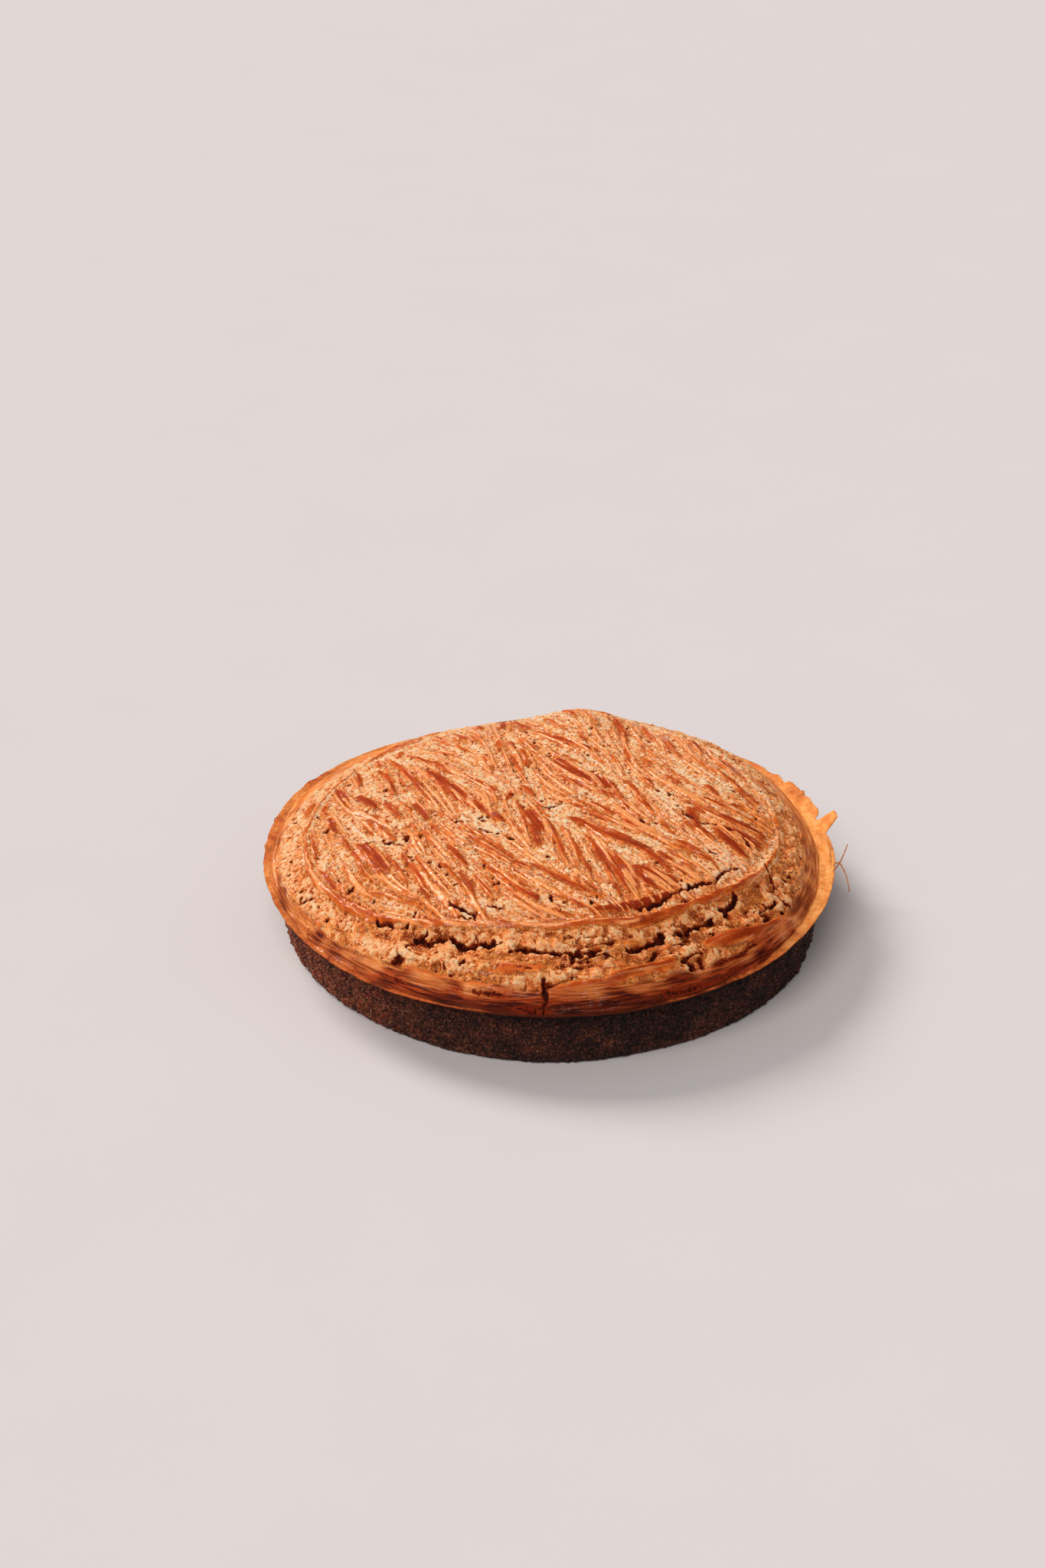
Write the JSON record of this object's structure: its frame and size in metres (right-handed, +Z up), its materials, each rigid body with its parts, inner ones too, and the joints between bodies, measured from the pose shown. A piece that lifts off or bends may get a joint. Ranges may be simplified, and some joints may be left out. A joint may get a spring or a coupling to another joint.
{
  "type": "breton butter cake",
  "caption": "Whole round golden-brown butter cake with a fork-scored glazed top, a raised torn ring of crust, a thin overhanging lip and dark crumbly sides.",
  "frame": {"origin": "centre of the flat base, on the surface that the cake stands on", "axes": "+Z up through the crown, -Y towards the side of the crust that tore open, +X to the right of that side"},
  "size_m": [0.1978, 0.199, 0.046],
  "materials": {
    "crust": "egg-washed golden crust, glossy on the glaze and matt in the crumb"
  },
  "bodies": {
    "root": {"cake": "crust"}
  },
  "joints": []
}
